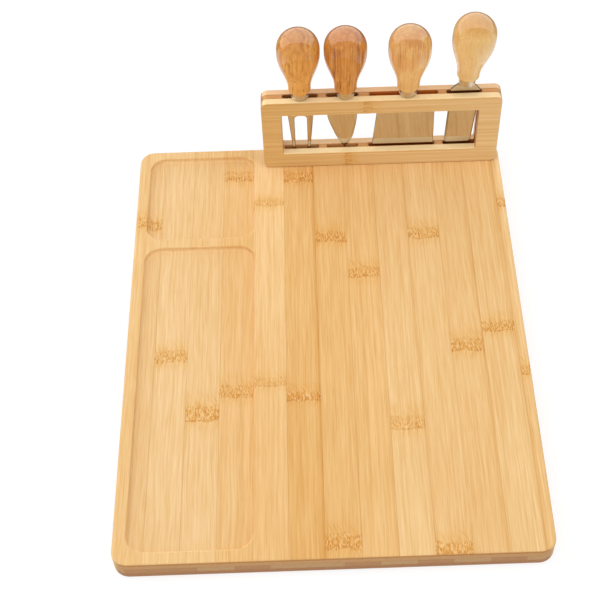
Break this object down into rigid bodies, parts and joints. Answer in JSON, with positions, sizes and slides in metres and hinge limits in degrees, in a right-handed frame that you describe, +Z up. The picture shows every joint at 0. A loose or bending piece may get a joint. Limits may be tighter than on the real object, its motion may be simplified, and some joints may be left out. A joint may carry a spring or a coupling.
{
  "type": "cheese board",
  "caption": "Laminated bamboo cheese board with routed trays and a standing slotted holder that carries lift-out cheese knives with turned wooden handles.",
  "frame": {"origin": "centre of the board's underside, on the surface it stands on", "axes": "+Z up, +Y along the board's length to the back edge where the holder stands, +X to the right, the holder's side"},
  "size_m": [0.26, 0.3324, 0.1424],
  "materials": {
    "top_ply_bamboo": "oiled satin bamboo, fine grain along the stave, with node marks",
    "core_ply_bamboo": "oiled bamboo end grain",
    "bottom_ply_bamboo": "oiled satin bamboo",
    "holder_bamboo": "oiled satin bamboo, grain along the holder",
    "holder_core_bamboo": "oiled carbonised bamboo",
    "screw_steel": "zinc plated",
    "blade_steel": "mirror polished stainless steel",
    "ferrule_steel": "polished stainless steel",
    "fork_handle_wood": "gloss lacquered rubberwood, golden orange",
    "spade_handle_wood": "gloss lacquered rubberwood, reddish brown",
    "cleaver_handle_wood": "gloss lacquered rubberwood, mid tan",
    "chisel_handle_wood": "gloss lacquered rubberwood, pale yellow"
  },
  "bodies": {
    "board": {"bottom_stave_01": "bottom_ply_bamboo", "bottom_stave_02": "bottom_ply_bamboo", "bottom_stave_03": "bottom_ply_bamboo", "bottom_stave_04": "bottom_ply_bamboo", "bottom_stave_05": "bottom_ply_bamboo", "bottom_stave_06": "bottom_ply_bamboo", "bottom_stave_07": "bottom_ply_bamboo", "bottom_stave_08": "bottom_ply_bamboo", "bottom_stave_09": "bottom_ply_bamboo", "bottom_stave_10": "bottom_ply_bamboo", "bottom_stave_11": "bottom_ply_bamboo", "bottom_stave_12": "bottom_ply_bamboo", "bottom_stave_13": "bottom_ply_bamboo", "core_stave_01": "core_ply_bamboo", "core_stave_02": "core_ply_bamboo", "core_stave_03": "core_ply_bamboo", "core_stave_04": "core_ply_bamboo", "core_stave_05": "core_ply_bamboo", "core_stave_06": "core_ply_bamboo", "core_stave_07": "core_ply_bamboo", "core_stave_08": "core_ply_bamboo", "core_stave_09": "core_ply_bamboo", "core_stave_10": "core_ply_bamboo", "core_stave_11": "core_ply_bamboo", "core_stave_12": "core_ply_bamboo", "core_stave_13": "core_ply_bamboo", "top_stave_01": "top_ply_bamboo", "top_stave_02": "top_ply_bamboo", "top_stave_03": "top_ply_bamboo", "top_stave_04": "top_ply_bamboo", "top_stave_05": "top_ply_bamboo", "top_stave_06": "top_ply_bamboo", "top_stave_07": "top_ply_bamboo", "top_stave_08": "top_ply_bamboo", "top_stave_09": "top_ply_bamboo", "top_stave_10": "top_ply_bamboo", "top_stave_11": "top_ply_bamboo", "top_stave_12": "top_ply_bamboo", "top_stave_13": "top_ply_bamboo", "holder_front_ply": "holder_bamboo", "holder_back_ply": "holder_bamboo", "holder_middle_ply": "holder_core_bamboo", "holder_divider_1": "holder_core_bamboo", "holder_divider_2": "holder_core_bamboo", "holder_divider_3": "holder_core_bamboo", "holder_screw_left": "screw_steel", "holder_screw_right": "screw_steel"},
    "fork": {"fork_blade": "blade_steel", "fork_ferrule": "ferrule_steel", "fork_handle": "fork_handle_wood"},
    "spade": {"spade_blade": "blade_steel", "spade_ferrule": "ferrule_steel", "spade_handle": "spade_handle_wood"},
    "cleaver": {"cleaver_blade": "blade_steel", "cleaver_ferrule": "ferrule_steel", "cleaver_handle": "cleaver_handle_wood"},
    "chisel": {"chisel_blade": "blade_steel", "chisel_ferrule": "ferrule_steel", "chisel_handle": "chisel_handle_wood"}
  },
  "joints": [
    {"name": "fork_lift", "type": "slide", "parent": "board", "child": "fork", "axis": [0, 0, 1], "range_m": [0, 0.07]},
    {"name": "spade_lift", "type": "slide", "parent": "board", "child": "spade", "axis": [0, 0, 1], "range_m": [0, 0.07]},
    {"name": "cleaver_lift", "type": "slide", "parent": "board", "child": "cleaver", "axis": [0, 0, 1], "range_m": [0, 0.07]},
    {"name": "chisel_lift", "type": "slide", "parent": "board", "child": "chisel", "axis": [0.0583, 0, 0.9983], "range_m": [0, 0.07]}
  ]
}
